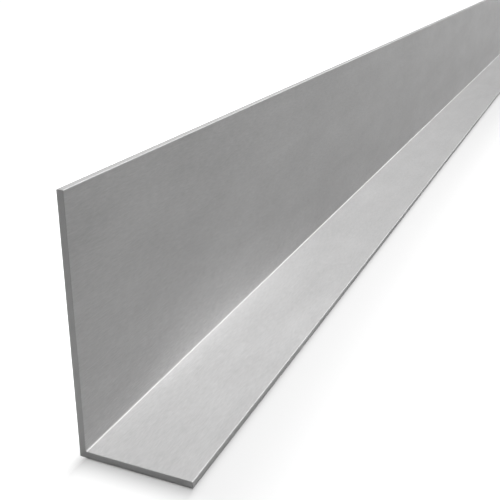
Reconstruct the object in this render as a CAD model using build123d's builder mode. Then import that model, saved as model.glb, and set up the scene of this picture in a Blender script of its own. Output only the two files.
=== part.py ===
"""Unequal angle section: one straight length of L-shaped metal stock, sawn square at both ends.

The short leg lies flat on the ground and the tall leg stands up along its left-hand edge.
X runs across the short leg from the heel to its toe, Y runs along the length, and Z runs up the tall leg.
The origin is the middle of the footprint, on the ground. All sizes are in millimetres.
"""

import os

from build123d import *

# Section
tall_leg = 110.0  # height of the standing leg, over the heel
short_leg = 50.0  # width of the lying leg, over the heel
wall = 3.0  # thickness of both legs
root_radius = 0.6  # concave corner where the two legs meet
heel_radius = 0.4  # convex corner behind the root
toe_radius = 0.35  # both corners of each leg's free edge

# Length
stock_length = 2000.0
end_break = 0.2  # deburred edge all round each sawn end

# Places that follow from the sizes
heel_x = -short_leg / 2
heel_corner = (heel_x, 0)
root_corner = (heel_x + wall, wall)


def nearest(corners, place):
    """The section corner that lies at a place given as (x, z)."""
    return corners.sort_by_distance((*place, 0))[0]


# The section is drawn looking along the length, as two legs that share the heel
with BuildPart() as angle_section:
    with BuildSketch(Plane.XZ) as section:
        with Locations(heel_corner):
            Rectangle(wall, tall_leg, align=(Align.MIN, Align.MIN))
            Rectangle(short_leg, wall, align=(Align.MIN, Align.MIN))
        heel = nearest(section.vertices(), heel_corner)
        root = nearest(section.vertices(), root_corner)
        toes = [v for v in section.vertices() if v not in (heel, root)]
        fillet(toes, radius=toe_radius)
        fillet(nearest(section.vertices(), heel_corner), radius=heel_radius)
        fillet(nearest(section.vertices(), root_corner), radius=root_radius)
    extrude(amount=stock_length / 2, both=True)

    # The saw's burr is taken off the rim of each end
    ends = angle_section.faces().filter_by(Axis.Y)
    chamfer(ends.edges(), length=end_break)

angle_section.part.label = "angle_section"

os.makedirs("parts", exist_ok=True)
export_step(angle_section.part, "parts/angle_section.step")

area = section.sketch.area
print(f"section area {area:.1f} mm2, volume {angle_section.part.volume / 1000:.1f} cm3")
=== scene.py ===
"""Looks for one straight length of unequal metal angle: satin skin, sawn ends and a plain studio.

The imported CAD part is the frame. The angle here is a finer mesh of the same section, with its rounded
corners and broken end edges, and it stands for the CAD node. Everything is in metres: X runs across the
short leg from heel to toe, Y runs along the length and Z runs up the tall leg.
"""

import math

import bpy
from bpy.props import FloatProperty, FloatVectorProperty, IntProperty, PointerProperty
from mathutils import Matrix, Vector


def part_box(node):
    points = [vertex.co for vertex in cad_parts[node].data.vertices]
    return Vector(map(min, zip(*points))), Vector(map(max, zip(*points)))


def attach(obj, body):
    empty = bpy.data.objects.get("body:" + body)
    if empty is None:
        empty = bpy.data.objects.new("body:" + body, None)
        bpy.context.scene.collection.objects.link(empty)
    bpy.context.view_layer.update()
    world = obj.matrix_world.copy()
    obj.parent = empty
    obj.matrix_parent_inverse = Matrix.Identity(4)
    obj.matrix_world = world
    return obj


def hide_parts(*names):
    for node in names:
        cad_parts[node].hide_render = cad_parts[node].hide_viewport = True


bl_info = {
    "name": "Metal Angle Section",
    "version": (1, 0, 0),
    "blender": (4, 5, 0),
    "location": "3D View > Sidebar > Angle",
    "description": "One length of unequal metal angle with a satin skin, and a plain studio to show it in",
    "category": "Object",
}

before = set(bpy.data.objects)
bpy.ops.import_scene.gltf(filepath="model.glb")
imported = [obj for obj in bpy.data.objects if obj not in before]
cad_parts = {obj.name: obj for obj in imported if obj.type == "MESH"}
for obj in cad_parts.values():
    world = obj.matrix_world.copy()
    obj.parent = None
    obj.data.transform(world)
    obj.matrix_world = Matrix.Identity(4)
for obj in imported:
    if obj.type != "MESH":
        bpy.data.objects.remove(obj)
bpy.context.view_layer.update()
CAD_NODE = "angle_section"
LOW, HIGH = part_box(CAD_NODE)


# Sizes and colours that a user would change

class AngleSizes(bpy.types.PropertyGroup):
    """Sizes of the section and its length."""

    tall_leg: FloatProperty(
        name="Tall leg", description="Height of the standing leg, over the heel",
        default=HIGH.z - LOW.z, unit="LENGTH", subtype="DISTANCE",
    )
    short_leg: FloatProperty(
        name="Short leg", description="Width of the lying leg, over the heel",
        default=HIGH.x - LOW.x, unit="LENGTH", subtype="DISTANCE",
    )
    length: FloatProperty(
        name="Length", description="From one sawn end to the other",
        default=HIGH.y - LOW.y, unit="LENGTH", subtype="DISTANCE",
    )
    wall: FloatProperty(
        name="Wall", description="Thickness of both legs",
        default=0.003, unit="LENGTH", subtype="DISTANCE",
    )
    root_radius: FloatProperty(
        name="Root radius", description="Hollow corner where the two legs meet",
        default=0.0006, unit="LENGTH", subtype="DISTANCE",
    )
    heel_radius: FloatProperty(
        name="Heel radius", description="Outer corner behind the root",
        default=0.0004, unit="LENGTH", subtype="DISTANCE",
    )
    toe_radius: FloatProperty(
        name="Toe radius", description="Both corners of each leg's free edge",
        default=0.00035, unit="LENGTH", subtype="DISTANCE",
    )
    end_break: FloatProperty(
        name="End break", description="How far the saw's burr is rubbed back round each end",
        default=0.0002, unit="LENGTH", subtype="DISTANCE",
    )
    corner_steps: IntProperty(
        name="Corner steps", description="Faces round each rounded corner", default=8, min=2,
    )
    station_gap: FloatProperty(
        name="Station gap", description="Distance between rings of the mesh along the length",
        default=0.025, unit="LENGTH", subtype="DISTANCE",
    )


class AngleFinish(bpy.types.PropertyGroup):
    """Colours, roughness and texture sizes of the metal."""

    skin_colour: FloatVectorProperty(
        name="Skin colour", description="Satin faces", subtype="COLOR",
        default=(0.532, 0.530, 0.530), min=0.0, max=1.0,
    )
    sawn_colour: FloatVectorProperty(
        name="Sawn colour", description="End faces as the saw left them", subtype="COLOR",
        default=(0.50, 0.50, 0.50), min=0.0, max=1.0,
    )
    # Partly polish, partly a painted highlight: the lighter colour paints the bright lines on the corners
    polished_highlight_colour: FloatVectorProperty(
        name="Polished colour", description="Corners that the die and handling keep bright",
        subtype="COLOR", default=(0.80, 0.80, 0.80), min=0.0, max=1.0,
    )
    metal_share: FloatProperty(
        name="Metal share", description="How much of the light the clear oxide skin lets the metal return",
        default=0.65, min=0.0, max=1.0, subtype="FACTOR",
    )
    skin_roughness: FloatProperty(
        name="Skin roughness", description="Middle roughness of the satin faces",
        default=0.84, min=0.0, max=1.0, subtype="FACTOR",
    )
    polished_roughness: FloatProperty(
        name="Polished roughness", description="Roughness of the bright corners",
        default=0.55, min=0.0, max=1.0, subtype="FACTOR",
    )
    sawn_metal_share: FloatProperty(
        name="Sawn metal share", description="How much of the light the torn sawn metal returns",
        default=0.35, min=0.0, max=1.0, subtype="FACTOR",
    )
    sawn_roughness: FloatProperty(
        name="Sawn roughness", description="Middle roughness of the sawn ends",
        default=0.72, min=0.0, max=1.0, subtype="FACTOR",
    )
    grain_width: FloatProperty(
        name="Grain width", description="Width of one line of the grain",
        default=0.0003, unit="LENGTH", subtype="DISTANCE",
    )
    grain_length: FloatProperty(
        name="Grain length", description="Usual length of one line of the grain",
        default=0.0024, unit="LENGTH", subtype="DISTANCE",
    )
    grain_depth: FloatProperty(
        name="Grain depth", description="Depth of the grain's lines",
        default=0.000006, unit="LENGTH", subtype="DISTANCE", precision=6,
    )
    patch_size: FloatProperty(
        name="Patch size", description="Usual size of the cloudy patches in the skin",
        default=0.014, unit="LENGTH", subtype="DISTANCE",
    )
    saw_pitch: FloatProperty(
        name="Saw pitch", description="Distance between the saw's marks on an end face",
        default=0.0007, unit="LENGTH", subtype="DISTANCE",
    )
    saw_depth: FloatProperty(
        name="Saw depth", description="Depth of the saw's marks",
        default=0.000012, unit="LENGTH", subtype="DISTANCE", precision=6,
    )


class StudioSettings(bpy.types.PropertyGroup):
    """Camera, floor and light."""

    camera_place: FloatVectorProperty(
        name="Camera place", description="Where the camera stands", subtype="TRANSLATION",
        unit="LENGTH", default=(0.1401, -1.2132, 0.1900),
    )
    camera_turn: FloatProperty(
        name="Camera turn", description="How far the camera looks to the left of the length",
        default=math.radians(23.387), unit="ROTATION", subtype="ANGLE",
    )
    camera_dip: FloatProperty(
        name="Camera dip", description="How far the camera looks down",
        default=math.radians(21.405), unit="ROTATION", subtype="ANGLE",
    )
    camera_roll: FloatProperty(
        name="Camera roll", description="How far the camera leans about its own line of sight",
        default=math.radians(0.129), unit="ROTATION", subtype="ANGLE",
    )
    camera_lens: FloatProperty(
        name="Lens", description="Focal length in millimetres, on the camera's own sensor",
        default=56.96, subtype="DISTANCE_CAMERA",
    )
    floor_colour: FloatVectorProperty(
        name="Floor colour", description="Plain pale floor", subtype="COLOR",
        default=(0.38, 0.38, 0.38), min=0.0, max=1.0,
    )
    # Less glow near the part paints a shadow on the floor: a dark line at the part, a faint shade beside it
    floor_glow_near: FloatProperty(
        name="Floor glow at the part", description="White added to the floor right at the part",
        default=0.08, min=0.0,
    )
    floor_glow_close: FloatProperty(
        name="Floor glow close by", description="White added to the floor past the dark line at the part",
        default=0.455, min=0.0,
    )
    floor_glow_beside: FloatProperty(
        name="Floor glow beside the part", description="White added to the floor a hand away",
        default=0.70, min=0.0,
    )
    floor_glow_far: FloatProperty(
        name="Far floor glow", description="White added to the far floor", default=1.0, min=0.0,
    )
    painted_shadow_reach: FloatProperty(
        name="Close reach", description="Distance over which the dark line at the part fades",
        default=0.0065, unit="LENGTH", subtype="DISTANCE",
    )
    painted_shade_reach: FloatProperty(
        name="Beside reach", description="Distance over which the faint shade right of the part fades",
        default=0.042, unit="LENGTH", subtype="DISTANCE",
    )
    far_reach: FloatProperty(
        name="Far reach", description="Distance over which the floor's glow makes up for the lamps",
        default=2.5, unit="LENGTH", subtype="DISTANCE",
    )
    sky_level: FloatProperty(
        name="Sky level", description="Level of the even light from above", default=0.02, min=0.0,
    )
    lamp_strength: FloatProperty(
        name="Lamp strength", description="Level of all the soft lamps together", default=1.0, min=0.0,
    )


# Section mesh

# Faces across the flat of each leg, the same on its outer and inner side
TALL_STEPS = 12
SHORT_STEPS = 6
# Distance of the supporting points that keep the flats flat beside each rounded corner
CORNER_SUPPORT = 5e-5
# Least radius of a toe's corner, where the broken edge has taken the rest of it away
LEAST_TOE = 1e-5
# Faces across the broken edge of an end, and the first ring past it, as a multiple of the edge's width
BREAK_STEPS = 3
BREAK_SUPPORT = 1.3
# Faces that meet at a larger angle than this keep a crisp edge in the shading
CRISP_ANGLE = math.radians(31)

# Places in the UV map, from 0 to 1: the long sides fill the left of it, and each end has a strip beside them
SIDES_SHARE = 0.90
NEAR_END_LEFT = 0.904
FAR_END_LEFT = 0.95
END_WIDTH = 0.04


def rounded_corner(corner, arrive, leave, radius, steps):
    """Points round one right-angled corner of the outline, with a supporting point before and after.

    arrive and leave are unit directions along the outline into and out of the corner.
    """
    centre = corner - arrive * radius + leave * radius
    points = [corner - arrive * (radius + CORNER_SUPPORT)]
    for i in range(steps + 1):
        turn = math.pi / 2 * i / steps
        points.append(centre - leave * (radius * math.cos(turn)) + arrive * (radius * math.sin(turn)))
    points.append(corner + leave * (radius + CORNER_SUPPORT))
    return points


def between(first, last, steps):
    """The points that divide the way from first to last into equal steps, without the two ends."""
    return [first.lerp(last, i / steps) for i in range(1, steps)]


def section_sides(sizes, inset=0.0):
    """Outer and inner side of the section, as two lists of (x, z) points of the same length.

    Both run from the middle of the tall leg's free edge, past the corner, to the middle of the short
    leg's free edge. inset moves both sides into the metal, as the broken end edge does.
    """
    heel_x, wall, steps = LOW.x, sizes.wall, sizes.corner_steps
    toe = max(sizes.toe_radius - inset, LEAST_TOE)
    up, down = Vector((0, 1)), Vector((0, -1))
    right, left = Vector((1, 0)), Vector((-1, 0))

    top = sizes.tall_leg - inset
    tip = heel_x + sizes.short_leg - inset
    outer_x, outer_z = heel_x + inset, inset
    inner_x, inner_z = heel_x + wall - inset, wall - inset

    outer_top = rounded_corner(Vector((outer_x, top)), left, down, toe, steps)
    heel_turn = rounded_corner(Vector((outer_x, outer_z)), down, right, sizes.heel_radius - inset, steps)
    outer_tip = rounded_corner(Vector((tip, outer_z)), right, up, toe, steps)
    outer = (
        [Vector((heel_x + wall / 2, top))] + outer_top
        + between(outer_top[-1], heel_turn[0], TALL_STEPS) + heel_turn
        + between(heel_turn[-1], outer_tip[0], SHORT_STEPS) + outer_tip
        + [Vector((tip, wall / 2))]
    )

    inner_top = rounded_corner(Vector((inner_x, top)), right, down, toe, steps)
    root_turn = rounded_corner(Vector((inner_x, inner_z)), down, right, sizes.root_radius + inset, steps)
    inner_tip = rounded_corner(Vector((tip, inner_z)), right, down, toe, steps)
    inner = (
        [Vector((heel_x + wall / 2, top))] + inner_top
        + between(inner_top[-1], root_turn[0], TALL_STEPS) + root_turn
        + between(root_turn[-1], inner_tip[0], SHORT_STEPS) + inner_tip
        + [Vector((tip, wall / 2))]
    )
    return outer, inner


def length_stations(sizes):
    """Places along the length as (y, inset): the broken edge at each end, then even rings between."""
    half = sizes.length / 2
    middle_y = (HIGH.y + LOW.y) / 2
    edge = sizes.end_break
    near_end = []
    for i in range(BREAK_STEPS + 1):
        turn = math.pi / 2 * i / BREAK_STEPS
        near_end.append((-half + edge * (1 - math.sin(turn)), edge * (1 - math.cos(turn))))
    near_end.reverse()
    count = max(2, 2 * round((half - edge) / sizes.station_gap))
    start, stop = -half + edge * BREAK_SUPPORT, half - edge * BREAK_SUPPORT
    rings = near_end + [(start, 0.0)]
    rings += [(start + (stop - start) * i / count, 0.0) for i in range(1, count)]
    rings.append((stop, 0.0))
    rings += [(-y, inset) for y, inset in reversed(near_end)]
    return [(middle_y + y, inset) for y, inset in rings]


class SectionLoop:
    """The section as one closed loop of points, and distances along it.

    The loop starts at the middle of the tall leg's free edge, runs down the outer side to the middle of
    the short leg's free edge, and comes back along the inner side.
    """

    def __init__(self, sizes):
        outer, inner = section_sides(sizes)
        loop = outer + inner[-2:0:-1]
        self.count = len(loop)
        self.rungs = len(outer)

        self.around = [0.0]
        for before, after in zip(loop, loop[1:]):
            self.around.append(self.around[-1] + (after - before).length)
        self.total = self.around[-1] + (loop[0] - loop[-1]).length

        # Loop numbers of the points in the middle of the rounded corners
        arc = sizes.corner_steps + 1
        top = 2 + arc // 2
        heel = top + arc + TALL_STEPS + 1
        tip = heel + arc + SHORT_STEPS + 1
        self.bright = [self.around[i] for i in (top, self.opposite(tip), self.opposite(top))]
        self.heel = self.around[heel]
        self.root = self.around[self.opposite(heel)]

    def opposite(self, k):
        """Loop number of the inner point that faces outer point k across the metal."""
        return self.count - k if k else 0

    def way(self, a, b):
        """The shorter way round the loop between two distances."""
        gap = abs(a - b)
        return min(gap, self.total - gap)


def side_faces(loop, stations):
    """Faces of the long sides, ring by ring, and the UV place of each of their corners."""
    faces, uvs = [], []
    first_y, last_y = stations[0][0], stations[-1][0]
    for r in range(len(stations) - 1):
        near, far = r * loop.count, (r + 1) * loop.count
        v0 = (stations[r][0] - first_y) / (last_y - first_y)
        v1 = (stations[r + 1][0] - first_y) / (last_y - first_y)
        for i in range(loop.count):
            j = (i + 1) % loop.count
            faces.append((near + i, far + i, far + j, near + j))
            u0 = loop.around[i] / loop.total * SIDES_SHARE
            u1 = (loop.around[j] if j else loop.total) / loop.total * SIDES_SHARE
            uvs += [(u0, v0), (u0, v1), (u1, v1), (u1, v0)]
    return faces, uvs


def end_faces(loop, base, left, flip):
    """Faces of one sawn end, a ladder between the outer and the inner side, and their UV places."""
    faces, uvs = [], []
    span = loop.around[loop.rungs - 1]
    for k in range(loop.rungs - 1):
        v0, v1 = loop.around[k] / span, loop.around[k + 1] / span
        corners = [(k, 0.0, v0), (k + 1, 0.0, v1)]
        corners += [(loop.opposite(k + 1), 1.0, v1), (loop.opposite(k), 1.0, v0)]
        if k == 0:
            corners = [(k, 0.5, v0), corners[1], corners[2]]
        if k == loop.rungs - 2:
            corners = [corners[0], (k + 1, 0.5, v1), corners[3]]
        if flip:
            corners.reverse()
        faces.append(tuple(base + i for i, _, _ in corners))
        uvs += [(left + END_WIDTH * u, v) for _, u, v in corners]
    return faces, uvs


def angle_mesh(sizes):
    """The whole length as one closed mesh, with the values that its materials read.

    The point values are skin, the unrolled place on the skin, from_corner and from_root, the distances
    along the skin to the nearest bright corner and to the root, and tall_side, 1 on the standing leg.
    """
    stations = length_stations(sizes)
    loop = SectionLoop(sizes)

    vertices, skin, from_corner, from_root, tall_side = [], [], [], [], []
    for y, inset in stations:
        outer, inner = section_sides(sizes, inset)
        for point, s in zip(outer + inner[-2:0:-1], loop.around):
            vertices.append((point.x, y, point.y))
            skin += [s, y, 0.0]
            from_corner.append(min(loop.way(s, corner) for corner in loop.bright))
            from_root.append(loop.way(s, loop.root))
            tall_side.append(1.0 if s < loop.heel or s > loop.root else 0.0)

    faces, uvs = side_faces(loop, stations)
    side_count = len(faces)
    last_ring = (len(stations) - 1) * loop.count
    for base, left, flip in ((0, NEAR_END_LEFT, False), (last_ring, FAR_END_LEFT, True)):
        more_faces, more_uvs = end_faces(loop, base, left, flip)
        faces += more_faces
        uvs += more_uvs

    mesh = bpy.data.meshes.new("satin_angle")
    mesh.from_pydata(vertices, [], faces)
    mesh.uv_layers.new(name="OFBake")
    mesh.uv_layers["OFBake"].data.foreach_set("uv", [c for uv in uvs for c in uv])
    for name, values in (("from_corner", from_corner), ("from_root", from_root), ("tall_side", tall_side)):
        mesh.attributes.new(name, "FLOAT", "POINT").data.foreach_set("value", values)
    mesh.attributes.new("skin", "FLOAT_VECTOR", "POINT").data.foreach_set("vector", skin)
    material_slots = [0] * side_count + [1] * (len(faces) - side_count)
    mesh.polygons.foreach_set("material_index", material_slots)
    mesh.polygons.foreach_set("use_smooth", [True] * len(faces))
    mesh.update()
    mesh.validate()
    mesh.set_sharp_from_angle(angle=CRISP_ANGLE)
    return mesh


# Materials

# How busy the grain's long lines are against its short ones, across the lines and along them
LONG_LINE_ACROSS = 0.35
LONG_LINE_ALONG = 0.04
# How busy the cloudy patches are along the length, against across it
PATCH_ALONG = 0.3

# Distances from the middle of a corner, and of the root, between which its bright line fades away
CORNER_BAND = (0.00018, 0.00036)
ROOT_BAND = (0.00020, 0.00052)
# The polished colour on these corners is partly real polish and partly a painted highlight line
# How much of the polished colour the free corners show on the lying leg and on the standing leg
LYING_CORNER = 0.65
TALL_CORNER = 0.51

# Painted light in the root: painted bounce light between the legs and a painted pool of light
# The painted root light is strongest at one place along the length and again after each gap, and a
# higher power keeps it to a shorter stretch there
PAINTED_LIGHT_PLACE = -0.89
PAINTED_LIGHT_GAP = 1.4
PAINTED_LIGHT_POWER = 17.0
# How fast it fades out of the root on each leg, in metres
LYING_FADE = 0.004
TALL_FADE = 0.025
# On the lying leg, what it adds all over a strong place and what it adds to that in the root
LYING_PAINTED_LIGHT = 0.09
LYING_ROOT_PAINTED_LIGHT = 0.18
# On the standing leg, what it adds in the root everywhere and what a strong place adds to that
TALL_PAINTED_LIGHT = 0.21
TALL_STRONG_PAINTED_LIGHT = 0.50

# How far the lines and patches take the satin skin's colour, and its roughness, from their middle levels
LINE_SHADE = 0.33
LONG_LINE_SHADE = 0.06
PATCH_SHADE = 0.20
LINE_ROUGHNESS = 0.14
PATCH_ROUGHNESS = -0.12

# Centre of the saw's blade, above and beside the section, and how far its marks wander from true arcs
BLADE_CENTRE = (0.10, 0.0, 0.16)
SAW_WANDER = 9.0
# Usual size of the patches on a sawn end, how far the saw's marks and the patches take its colour from
# its middle level, and how far the marks take its roughness
SAWN_PATCH_SIZE = 0.004
SAW_SHADE = 0.16
SAWN_PATCH_SHADE = 0.12
SAW_ROUGHNESS = 0.16

# Numbers of the colour sockets on a Mix node
MIX_FACTOR, MIX_FIRST, MIX_SECOND, MIX_RESULT = 0, 6, 7, 2


def node(tree, kind, place, **values):
    """A node of that kind at that place, with its own settings and input values."""
    made = tree.nodes.new(kind)
    made.location = place
    for key, value in values.items():
        if hasattr(made, key):
            setattr(made, key, value)
        else:
            made.inputs[key].default_value = value
    return made


def math_node(tree, operation, place, *values, clamp=False):
    """A Math node whose inputs are numbers or sockets."""
    made = tree.nodes.new("ShaderNodeMath")
    made.operation, made.location, made.use_clamp = operation, place, clamp
    for slot, value in zip(made.inputs, values):
        if isinstance(value, bpy.types.NodeSocket):
            tree.links.new(value, slot)
        else:
            slot.default_value = value
    return made.outputs[0]


def smooth_range(tree, place, band, levels):
    """A Map Range node that eases from the first level to the second as its value crosses the band."""
    return node(tree, "ShaderNodeMapRange", place, interpolation_type="SMOOTHSTEP", **{
        "From Min": band[0], "From Max": band[1], "To Min": levels[0], "To Max": levels[1]})


def new_group(name, inputs, outputs):
    """An empty node group with named inputs and outputs, and its two end nodes."""
    group = bpy.data.node_groups.new(name, "ShaderNodeTree")
    for label, kind, value in inputs:
        socket = group.interface.new_socket(label, in_out="INPUT", socket_type=kind)
        if value is not None:
            socket.default_value = value
    for label, kind in outputs:
        group.interface.new_socket(label, in_out="OUTPUT", socket_type=kind)
    start = node(group, "NodeGroupInput", (-900, 0))
    end = node(group, "NodeGroupOutput", (700, 0))
    return group, start, end


def grain_group():
    """Fine lines drawn along one direction of a flat place: short ones, and long faint ones."""
    group, start, end = new_group(
        "Drawn Grain",
        [("Place", "NodeSocketVector", None), ("Line Width", "NodeSocketFloat", 0.0003),
         ("Line Length", "NodeSocketFloat", 0.0024)],
        [("Lines", "NodeSocketFloat"), ("Long Lines", "NodeSocketFloat")],
    )
    split = node(group, "ShaderNodeSeparateXYZ", (-700, 0))
    group.links.new(start.outputs["Place"], split.inputs[0])
    across = math_node(group, "DIVIDE", (-500, 100), split.outputs["X"], start.outputs["Line Width"])
    along = math_node(group, "DIVIDE", (-500, -100), split.outputs["Y"], start.outputs["Line Length"])
    flat = node(group, "ShaderNodeCombineXYZ", (-300, 0))
    group.links.new(across, flat.inputs["X"])
    group.links.new(along, flat.inputs["Y"])
    short = node(group, "ShaderNodeTexNoise", (-100, 150), noise_dimensions="2D",
                 Scale=0.5, Detail=3.0, Roughness=0.65)
    group.links.new(flat.outputs[0], short.inputs["Vector"])
    slower = math_node(group, "MULTIPLY", (-300, -200), along, LONG_LINE_ALONG)
    wider = math_node(group, "MULTIPLY", (-300, -350), across, LONG_LINE_ACROSS)
    far = node(group, "ShaderNodeCombineXYZ", (-120, -250))
    group.links.new(wider, far.inputs["X"])
    group.links.new(slower, far.inputs["Y"])
    long = node(group, "ShaderNodeTexNoise", (60, -250), noise_dimensions="2D",
                Scale=0.5, Detail=4.0, Roughness=0.7)
    group.links.new(far.outputs[0], long.inputs["Vector"])
    group.links.new(short.outputs["Fac"], end.inputs["Lines"])
    group.links.new(long.outputs["Fac"], end.inputs["Long Lines"])
    return group


def cloud_group():
    """Soft cloudy patches, a little longer along the length than across it."""
    group, start, end = new_group(
        "Cloudy Patches",
        [("Place", "NodeSocketVector", None), ("Patch Size", "NodeSocketFloat", 0.014)],
        [("Shade", "NodeSocketFloat")],
    )
    split = node(group, "ShaderNodeSeparateXYZ", (-700, 0))
    group.links.new(start.outputs["Place"], split.inputs[0])
    across = math_node(group, "DIVIDE", (-500, 100), split.outputs["X"], start.outputs["Patch Size"])
    along = math_node(group, "DIVIDE", (-500, -100), split.outputs["Y"], start.outputs["Patch Size"])
    slower = math_node(group, "MULTIPLY", (-300, -100), along, PATCH_ALONG)
    flat = node(group, "ShaderNodeCombineXYZ", (-100, 0))
    group.links.new(across, flat.inputs["X"])
    group.links.new(slower, flat.inputs["Y"])
    patches = node(group, "ShaderNodeTexNoise", (100, 0), noise_dimensions="2D",
                   Scale=0.55, Detail=6.0, Roughness=0.8)
    group.links.new(flat.outputs[0], patches.inputs["Vector"])
    group.links.new(patches.outputs["Fac"], end.inputs["Shade"])
    return group


def corner_group():
    """Free corners and the root line, polished with a painted highlight, and painted light out of the root.
    """
    group, start, end = new_group(
        "Bright Corners",
        [("From Corner", "NodeSocketFloat", 1.0), ("From Root", "NodeSocketFloat", 1.0),
         ("Tall Side", "NodeSocketFloat", 0.0), ("Along", "NodeSocketFloat", 0.0)],
        [("Corner", "NodeSocketFloat"), ("Root Line", "NodeSocketFloat"), ("Painted Root Light", "NodeSocketFloat")],
    )
    from_root, tall = start.outputs["From Root"], start.outputs["Tall Side"]
    corner = smooth_range(group, (-500, 300), CORNER_BAND, (1.0, 0.0))
    group.links.new(start.outputs["From Corner"], corner.inputs["Value"])
    polished_highlight = math_node(group, "MULTIPLY_ADD", (-500, 500), tall, TALL_CORNER - LYING_CORNER, LYING_CORNER)
    polished_highlight = math_node(group, "MULTIPLY", (-260, 400), corner.outputs["Result"], polished_highlight)
    group.links.new(polished_highlight, end.inputs["Corner"])
    line = smooth_range(group, (-500, 50), ROOT_BAND, (1.0, 0.0))
    group.links.new(from_root, line.inputs["Value"])
    group.links.new(line.outputs["Result"], end.inputs["Root Line"])

    # Painted pool of light: strong in places along the length
    pace = 2 * math.pi / PAINTED_LIGHT_GAP
    turn = math_node(group, "MULTIPLY_ADD", (-600, -550), start.outputs["Along"], pace, -pace * PAINTED_LIGHT_PLACE)
    wave = math_node(group, "COSINE", (-430, -550), turn)
    wave = math_node(group, "MULTIPLY_ADD", (-260, -550), wave, 0.5, 0.5)
    wave = math_node(group, "POWER", (-90, -550), wave, PAINTED_LIGHT_POWER)

    # Painted bounce light: a short fade out of the root on the lying leg, in the strong places only
    short = math_node(group, "MULTIPLY", (-600, -150), from_root, -1.0 / LYING_FADE)
    short = math_node(group, "EXPONENT", (-430, -150), short)
    short = math_node(group, "MULTIPLY_ADD", (-260, -150), short, LYING_ROOT_PAINTED_LIGHT, LYING_PAINTED_LIGHT)
    lying = math_node(group, "SUBTRACT", (-430, 0), 1.0, tall)
    short = math_node(group, "MULTIPLY", (-90, -150), short, lying)
    short = math_node(group, "MULTIPLY", (80, -150), short, wave)

    # Painted bounce light: a long fade on the standing leg, along the whole length
    long = math_node(group, "MULTIPLY", (-600, -350), from_root, -1.0 / TALL_FADE)
    long = math_node(group, "EXPONENT", (-430, -350), long)
    long = math_node(group, "MULTIPLY", (-260, -350), long, tall)
    strength = math_node(group, "MULTIPLY_ADD", (80, -450), wave, TALL_STRONG_PAINTED_LIGHT, TALL_PAINTED_LIGHT)
    long = math_node(group, "MULTIPLY", (250, -400), long, strength)
    both = math_node(group, "ADD", (430, -300), short, long)
    group.links.new(both, end.inputs["Painted Root Light"])
    return group


def attribute(tree, name, place):
    """An Attribute node that reads one of the mesh's own values."""
    return node(tree, "ShaderNodeAttribute", place, attribute_name=name)


def placed(tree, group, place, **values):
    """A node that uses a group, with its own values."""
    made = tree.nodes.new("ShaderNodeGroup")
    made.node_tree, made.location = group, place
    for key, value in values.items():
        made.inputs[key.replace("_", " ")].default_value = value
    return made


def shaded(tree, place, terms, start=1.0):
    """start plus each (socket, amount) term, where the socket's middle value 0.5 adds nothing."""
    x, y = place
    total = start
    for i, (socket, amount) in enumerate(terms):
        centred = math_node(tree, "MULTIPLY_ADD", (x + 340 * i, y), socket, amount, -amount / 2)
        total = math_node(tree, "ADD", (x + 340 * i + 170, y), centred, total)
    return total


def tinted(tree, place, colour, shade):
    """A colour scaled by a shade socket."""
    scale = node(tree, "ShaderNodeVectorMath", place, operation="SCALE")
    scale.inputs[0].default_value = colour
    tree.links.new(shade, scale.inputs["Scale"])
    return scale.outputs["Vector"]


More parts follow.
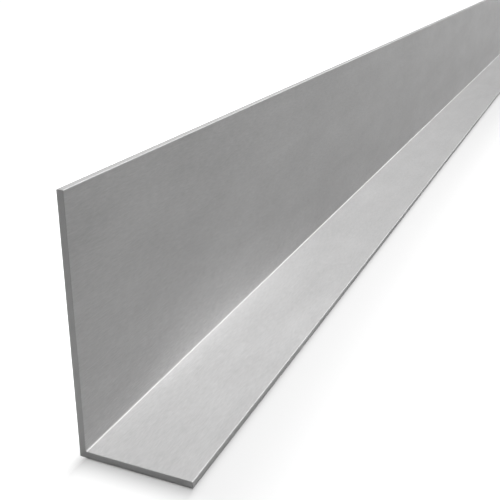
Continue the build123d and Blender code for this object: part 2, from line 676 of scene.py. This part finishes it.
def satin_skin(finish, grain, clouds, corners):
    """Satin metal as it leaves the die: fine grain along the length, cloudy patches, bright corners."""
    material = bpy.data.materials.new("satin aluminium")
    material.use_nodes = True
    tree = material.node_tree
    link = tree.links.new
    shader = tree.nodes["Principled BSDF"]
    shader.location = (1500, 0)
    tree.nodes["Material Output"].location = (1800, 0)
    shader.inputs["Metallic"].default_value = finish.metal_share

    skin = attribute(tree, "skin", (-1300, 200))
    lines = placed(tree, grain, (-1000, 300), Line_Width=finish.grain_width, Line_Length=finish.grain_length)
    link(skin.outputs["Vector"], lines.inputs["Place"])
    patches = placed(tree, clouds, (-1000, 100), Patch_Size=finish.patch_size)
    link(skin.outputs["Vector"], patches.inputs["Place"])
    bright = placed(tree, corners, (-1000, -150))
    link(attribute(tree, "from_corner", (-1300, -50)).outputs["Fac"], bright.inputs["From Corner"])
    link(attribute(tree, "from_root", (-1300, -200)).outputs["Fac"], bright.inputs["From Root"])
    link(attribute(tree, "tall_side", (-1300, -350)).outputs["Fac"], bright.inputs["Tall Side"])
    split = node(tree, "ShaderNodeSeparateXYZ", (-1200, 420))
    link(skin.outputs["Vector"], split.inputs[0])
    link(split.outputs["Y"], bright.inputs["Along"])

    # Colour: each line of the grain and each patch a little lighter or darker, then the bright places
    shade = shaded(tree, (-700, 350), (
        (lines.outputs["Lines"], LINE_SHADE),
        (lines.outputs["Long Lines"], LONG_LINE_SHADE),
        (patches.outputs["Shade"], PATCH_SHADE),
    ))
    # Painted light in the root lifts the colour: painted bounce light and a painted pool of light
    painted_light_lift = math_node(tree, "ADD", (400, 300), bright.outputs["Painted Root Light"], 1.0)
    shade = math_node(tree, "MULTIPLY", (570, 330), shade, painted_light_lift)
    colour = tinted(tree, (740, 330), finish.skin_colour, shade)
    # Corners and root line: smoother metal is real polish, the lighter colour is a painted highlight
    polish_and_highlight_mask = math_node(tree, "MAXIMUM", (400, 80), bright.outputs["Corner"], bright.outputs["Root Line"])
    polished_highlight = node(tree, "ShaderNodeMix", (950, 250), data_type="RGBA")
    link(polish_and_highlight_mask, polished_highlight.inputs[MIX_FACTOR])
    link(colour, polished_highlight.inputs[MIX_FIRST])
    polished_highlight.inputs[MIX_SECOND].default_value = (*finish.polished_highlight_colour, 1.0)
    link(polished_highlight.outputs[MIX_RESULT], shader.inputs["Base Color"])

    # Roughness: the same short lines and patches, and smoother metal where it is bright
    rough = shaded(tree, (-700, -350), (
        (lines.outputs["Lines"], LINE_ROUGHNESS),
        (patches.outputs["Shade"], PATCH_ROUGHNESS),
    ), finish.skin_roughness)
    drop = math_node(tree, "MULTIPLY", (400, -200), polish_and_highlight_mask, finish.polished_roughness - finish.skin_roughness)
    rough = math_node(tree, "ADD", (600, -250), rough, drop, clamp=True)
    link(rough, shader.inputs["Roughness"])

    # Height in metres: the grain's lines
    height = shaded(tree, (-700, -650), (
        (lines.outputs["Lines"], finish.grain_depth),
        (lines.outputs["Long Lines"], finish.grain_depth),
    ), 0.0)
    bump = node(tree, "ShaderNodeBump", (1200, -400), Strength=1.0, Distance=1.0)
    link(height, bump.inputs["Height"])
    link(bump.outputs["Normal"], shader.inputs["Normal"])
    return material


def sawn_end(finish, clouds):
    """End face as the saw left it: arcs of the blade's teeth, uneven in depth, on duller metal."""
    material = bpy.data.materials.new("sawn aluminium")
    material.use_nodes = True
    tree = material.node_tree
    link = tree.links.new
    shader = tree.nodes["Principled BSDF"]
    shader.location = (1300, 0)
    tree.nodes["Material Output"].location = (1600, 0)
    shader.inputs["Metallic"].default_value = finish.sawn_metal_share

    # Distance from the blade's centre, across the face
    place = node(tree, "ShaderNodeTexCoord", (-1300, 0))
    offset = node(tree, "ShaderNodeVectorMath", (-1100, 0), operation="SUBTRACT")
    link(place.outputs["Object"], offset.inputs[0])
    offset.inputs[1].default_value = BLADE_CENTRE
    flat = node(tree, "ShaderNodeVectorMath", (-930, 0), operation="MULTIPLY")
    link(offset.outputs[0], flat.inputs[0])
    flat.inputs[1].default_value = (1.0, 0.0, 1.0)
    reach = node(tree, "ShaderNodeVectorMath", (-760, 0), operation="LENGTH")
    link(flat.outputs[0], reach.inputs[0])

    # Patches, laid over the face in X and Z
    patches = placed(tree, clouds, (-760, -250), Patch_Size=SAWN_PATCH_SIZE)
    turned = node(tree, "ShaderNodeCombineXYZ", (-930, -250))
    parts = node(tree, "ShaderNodeSeparateXYZ", (-1100, -250))
    link(place.outputs["Object"], parts.inputs[0])
    link(parts.outputs["X"], turned.inputs["X"])
    link(parts.outputs["Z"], turned.inputs["Y"])
    link(turned.outputs[0], patches.inputs["Place"])

    # Marks of the teeth, deeper in some patches than in others
    turns = math_node(tree, "MULTIPLY", (-560, 0), reach.outputs["Value"], 2 * math.pi / finish.saw_pitch)
    wander = math_node(tree, "MULTIPLY", (-560, -200), patches.outputs["Shade"], SAW_WANDER)
    arcs = math_node(tree, "ADD", (-390, -50), turns, wander)
    arcs = math_node(tree, "SINE", (-220, -50), arcs)
    arcs = math_node(tree, "MULTIPLY_ADD", (-50, -50), arcs, 0.5, 0.5)
    depth = math_node(tree, "MULTIPLY", (120, -50), arcs, patches.outputs["Shade"])

    shade = shaded(tree, (300, 250), ((depth, SAW_SHADE), (patches.outputs["Shade"], SAWN_PATCH_SHADE)))
    link(tinted(tree, (1000, 250), finish.sawn_colour, shade), shader.inputs["Base Color"])
    rough = shaded(tree, (300, 0), ((depth, SAW_ROUGHNESS),), finish.sawn_roughness)
    link(rough, shader.inputs["Roughness"])
    height = math_node(tree, "MULTIPLY", (700, -250), depth, finish.saw_depth)
    bump = node(tree, "ShaderNodeBump", (1000, -250), Strength=1.0, Distance=1.0)
    link(height, bump.inputs["Height"])
    link(bump.outputs["Normal"], shader.inputs["Normal"])
    return material


class ANGLE_OT_add_length(bpy.types.Operator):
    """Build the length of angle with its satin skin and sawn ends"""

    bl_idname = "angle.add_length"
    bl_label = "Add Angle Length"

    def execute(self, context):
        scene = context.scene
        finish = scene.angle_finish
        mesh = angle_mesh(scene.angle_sizes)
        piece = bpy.data.objects.new("satin_angle", mesh)
        scene.collection.objects.link(piece)
        clouds = cloud_group()
        mesh.materials.append(satin_skin(finish, grain_group(), clouds, corner_group()))
        mesh.materials.append(sawn_end(finish, clouds))
        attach(piece, "root")
        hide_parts(CAD_NODE)
        return {"FINISHED"}


# Studio

# Name, place, the point it is aimed at, width and length, and power in watts
SOFTBOXES = (
    ("near_strip", (0.0, -0.95, 1.2), (0.0, -0.95, 0.0), (0.05, 0.3), 9.0),
    ("middle_strip", (0.0, -0.65, 1.2), (0.0, -0.65, 0.0), (0.12, 0.3), 5.8),
    ("far_strip", (0.0, 0.6, 1.2), (0.0, 0.6, 0.0), (0.05, 0.3), 4.8),
    ("right_softbox", (1.2, 1.6, 1.0), (0.0, -0.4, 0.0), (0.9, 0.9), 21.0),
    ("left_softbox", (-2.2, -0.9, 0.9), (0.0, -0.6, 0.0), (1.2, 1.2), 6.0),
)

# Distance from the middle of the floor to each of its edges
FLOOR_REACH = 30.0
# How fast the floor turns white to the right of the part, to its left, past its far end and before
# its near end: for the painted shadow line at the part, the faint painted shade beside it and the far floor
PAINTED_SHADOW_SCALES = (5.0, 5.0, 1.12, 1.12)
PAINTED_SHADE_SCALES = (1.0, 30.0, 3.8, 3.8)
FAR_SCALES = (4.0, 250.0, 3.0, 3.0)
# The left side is measured from just inside the heel, so that the heel's thin shadow is covered
LEFT_INSET = 0.0035
# The sky falls from white to dim between these heights above the horizon, as sines of the angle
SKY_BAND = (0.042, 0.050)

# Width of the camera's sensor in millimetres, and the nearest distance that it sees
SENSOR_WIDTH = 36.0
NEAREST_SEEN = 0.01


def scaled_distance(tree, sides, scales, y):
    """Distance from the footprint, with each of its four sides scaled by its own number."""
    parts = [math_node(tree, "MULTIPLY", (-420, y - 60 * i), side, scale)
             for i, (side, scale) in enumerate(zip(sides, scales))]
    across = math_node(tree, "ADD", (-250, y), parts[0], parts[1])
    along = math_node(tree, "ADD", (-250, y - 120), parts[2], parts[3])
    across_squared = math_node(tree, "MULTIPLY", (-80, y), across, across)
    squares = math_node(tree, "MULTIPLY_ADD", (80, y), along, along, across_squared)
    return math_node(tree, "SQRT", (240, y), squares)


def pale_floor(studio):
    """Floor with the part's shadow and a painted shadow close to it, white a little way from it."""
    material = bpy.data.materials.new("studio floor")
    material.use_nodes = True
    tree = material.node_tree
    link = tree.links.new
    tree.nodes.remove(tree.nodes["Principled BSDF"])
    output = tree.nodes["Material Output"]
    output.location = (1560, 0)

    # How far a place lies to the right of the part's footprint, to its left, past it and before it
    place = node(tree, "ShaderNodeNewGeometry", (-1100, 0))
    split = node(tree, "ShaderNodeSeparateXYZ", (-930, 0))
    link(place.outputs["Position"], split.inputs[0])
    sides = []
    for i, (axis, edge, sign) in enumerate((
        ("X", HIGH.x, 1.0), ("X", LOW.x + LEFT_INSET, -1.0), ("Y", HIGH.y, 1.0), ("Y", LOW.y, -1.0)
    )):
        side = math_node(tree, "MULTIPLY_ADD", (-760, 300 - 170 * i), split.outputs[axis], sign, -sign * edge)
        sides.append(math_node(tree, "MAXIMUM", (-590, 300 - 170 * i), side, 0.0))

    # Little white at the part, more close by and beside it, and most on the far floor
    # The low glow near the part is a painted shadow: a dark line at it and a faint shade beside it
    glow = level = studio.floor_glow_near
    for i, (scales, reach, power, next_level) in enumerate((
        (PAINTED_SHADOW_SCALES, studio.painted_shadow_reach, 1.0, studio.floor_glow_close),
        (PAINTED_SHADE_SCALES, studio.painted_shade_reach, 2.0, studio.floor_glow_beside),
        (FAR_SCALES, studio.far_reach, 1.0, studio.floor_glow_far),
    )):
        y = 200 - 300 * i
        fall = math_node(tree, "DIVIDE", (400, y), scaled_distance(tree, sides, scales, y), reach)
        fall = math_node(tree, "POWER", (500, y), fall, power)
        fall = math_node(tree, "MULTIPLY", (600, y), fall, -1.0)
        fall = math_node(tree, "EXPONENT", (700, y), fall)
        rise = math_node(tree, "MULTIPLY_ADD", (800, y), fall, level - next_level, next_level - level)
        glow = math_node(tree, "ADD", (900, y), rise, glow)
        level = next_level

    # The white is there for the camera and for what metal and glass show
    path = node(tree, "ShaderNodeLightPath", (-80, 500))
    seen = math_node(tree, "MAXIMUM", (80, 450), path.outputs["Is Camera Ray"], path.outputs["Is Glossy Ray"])
    seen = math_node(tree, "MAXIMUM", (240, 400), seen, path.outputs["Is Transmission Ray"])
    white = node(tree, "ShaderNodeEmission", (1220, -50))
    link(math_node(tree, "MULTIPLY", (1050, 200), seen, glow), white.inputs["Strength"])
    matt = node(tree, "ShaderNodeBsdfDiffuse", (1220, -200), Color=(*studio.floor_colour, 1.0))
    both = node(tree, "ShaderNodeAddShader", (1390, 0))
    link(white.outputs[0], both.inputs[0])
    link(matt.outputs[0], both.inputs[1])
    link(both.outputs[0], output.inputs["Surface"])
    return material


def studio_sky(studio):
    """Sky that is white at the horizon, where it meets the floor, and dim above."""
    world = bpy.data.worlds.new("studio")
    world.use_nodes = True
    tree = world.node_tree
    background = tree.nodes["Background"]
    background.inputs["Color"].default_value = (1.0, 1.0, 1.0, 1.0)
    place = node(tree, "ShaderNodeTexCoord", (-700, 0))
    split = node(tree, "ShaderNodeSeparateXYZ", (-500, 0))
    tree.links.new(place.outputs["Generated"], split.inputs[0])
    level = smooth_range(tree, (-300, 0), SKY_BAND, (1.0, studio.sky_level))
    tree.links.new(split.outputs["Z"], level.inputs["Value"])
    tree.links.new(level.outputs["Result"], background.inputs["Strength"])
    return world


class ANGLE_OT_add_studio(bpy.types.Operator):
    """Build the floor, the light and the camera"""

    bl_idname = "angle.add_studio"
    bl_label = "Add Studio"

    def execute(self, context):
        scene = context.scene
        studio = scene.angle_studio
        floor_mesh = bpy.data.meshes.new("studio_floor")
        signs = ((-1, -1), (1, -1), (1, 1), (-1, 1))
        corners = [(FLOOR_REACH * x, FLOOR_REACH * y, 0) for x, y in signs]
        floor_mesh.from_pydata(corners, [], [(0, 1, 2, 3)])
        floor_mesh.materials.append(pale_floor(studio))
        floor = bpy.data.objects.new("studio_floor", floor_mesh)
        scene.collection.objects.link(floor)
        scene.world = studio_sky(studio)

        for name, place, aim, (width, length), watts in SOFTBOXES:
            light = bpy.data.lights.new(name, "AREA")
            light.shape, light.size, light.size_y = "RECTANGLE", width, length
            light.energy = watts * studio.lamp_strength
            lamp = bpy.data.objects.new(name, light)
            scene.collection.objects.link(lamp)
            lamp.location = place
            lamp.rotation_euler = (Vector(aim) - Vector(place)).to_track_quat("-Z", "Y").to_euler()
            lamp.visible_camera = False

        view = bpy.data.cameras.new("photo_view")
        view.lens = studio.camera_lens
        view.sensor_width = SENSOR_WIDTH
        view.clip_start = NEAREST_SEEN
        camera = bpy.data.objects.new("photo_view", view)
        scene.collection.objects.link(camera)
        camera.location = studio.camera_place
        camera.rotation_euler = (
            Matrix.Rotation(studio.camera_turn, 3, "Z")
            @ Matrix.Rotation(math.pi / 2 - studio.camera_dip, 3, "X")
            @ Matrix.Rotation(studio.camera_roll, 3, "Z")
        ).to_euler()
        scene.camera = camera
        scene.view_settings.view_transform = "Standard"
        return {"FINISHED"}


class VIEW3D_PT_angle(bpy.types.Panel):
    """Sizes, finish and studio of the angle"""

    bl_label = "Metal Angle Section"
    bl_idname = "VIEW3D_PT_angle"
    bl_space_type = "VIEW_3D"
    bl_region_type = "UI"
    bl_category = "Angle"

    def draw(self, context):
        layout = self.layout
        for group, operator in (
            ("angle_sizes", "angle.add_length"), ("angle_finish", None), ("angle_studio", "angle.add_studio")
        ):
            settings = getattr(context.scene, group)
            for name in settings.__annotations__:
                layout.prop(settings, name)
            if operator:
                layout.operator(operator)


CLASSES = (AngleSizes, AngleFinish, StudioSettings, ANGLE_OT_add_length, ANGLE_OT_add_studio, VIEW3D_PT_angle)


def register():
    """Add the settings, the operators and the panel."""
    for made in CLASSES:
        bpy.utils.register_class(made)
    bpy.types.Scene.angle_sizes = PointerProperty(type=AngleSizes)
    bpy.types.Scene.angle_finish = PointerProperty(type=AngleFinish)
    bpy.types.Scene.angle_studio = PointerProperty(type=StudioSettings)


def unregister():
    """Take them away again."""
    del bpy.types.Scene.angle_sizes
    del bpy.types.Scene.angle_finish
    del bpy.types.Scene.angle_studio
    for made in reversed(CLASSES):
        bpy.utils.unregister_class(made)


def main():
    """Build the part and its studio."""
    register()
    bpy.ops.angle.add_length()
    bpy.ops.angle.add_studio()


if __name__ == "__main__":
    main()
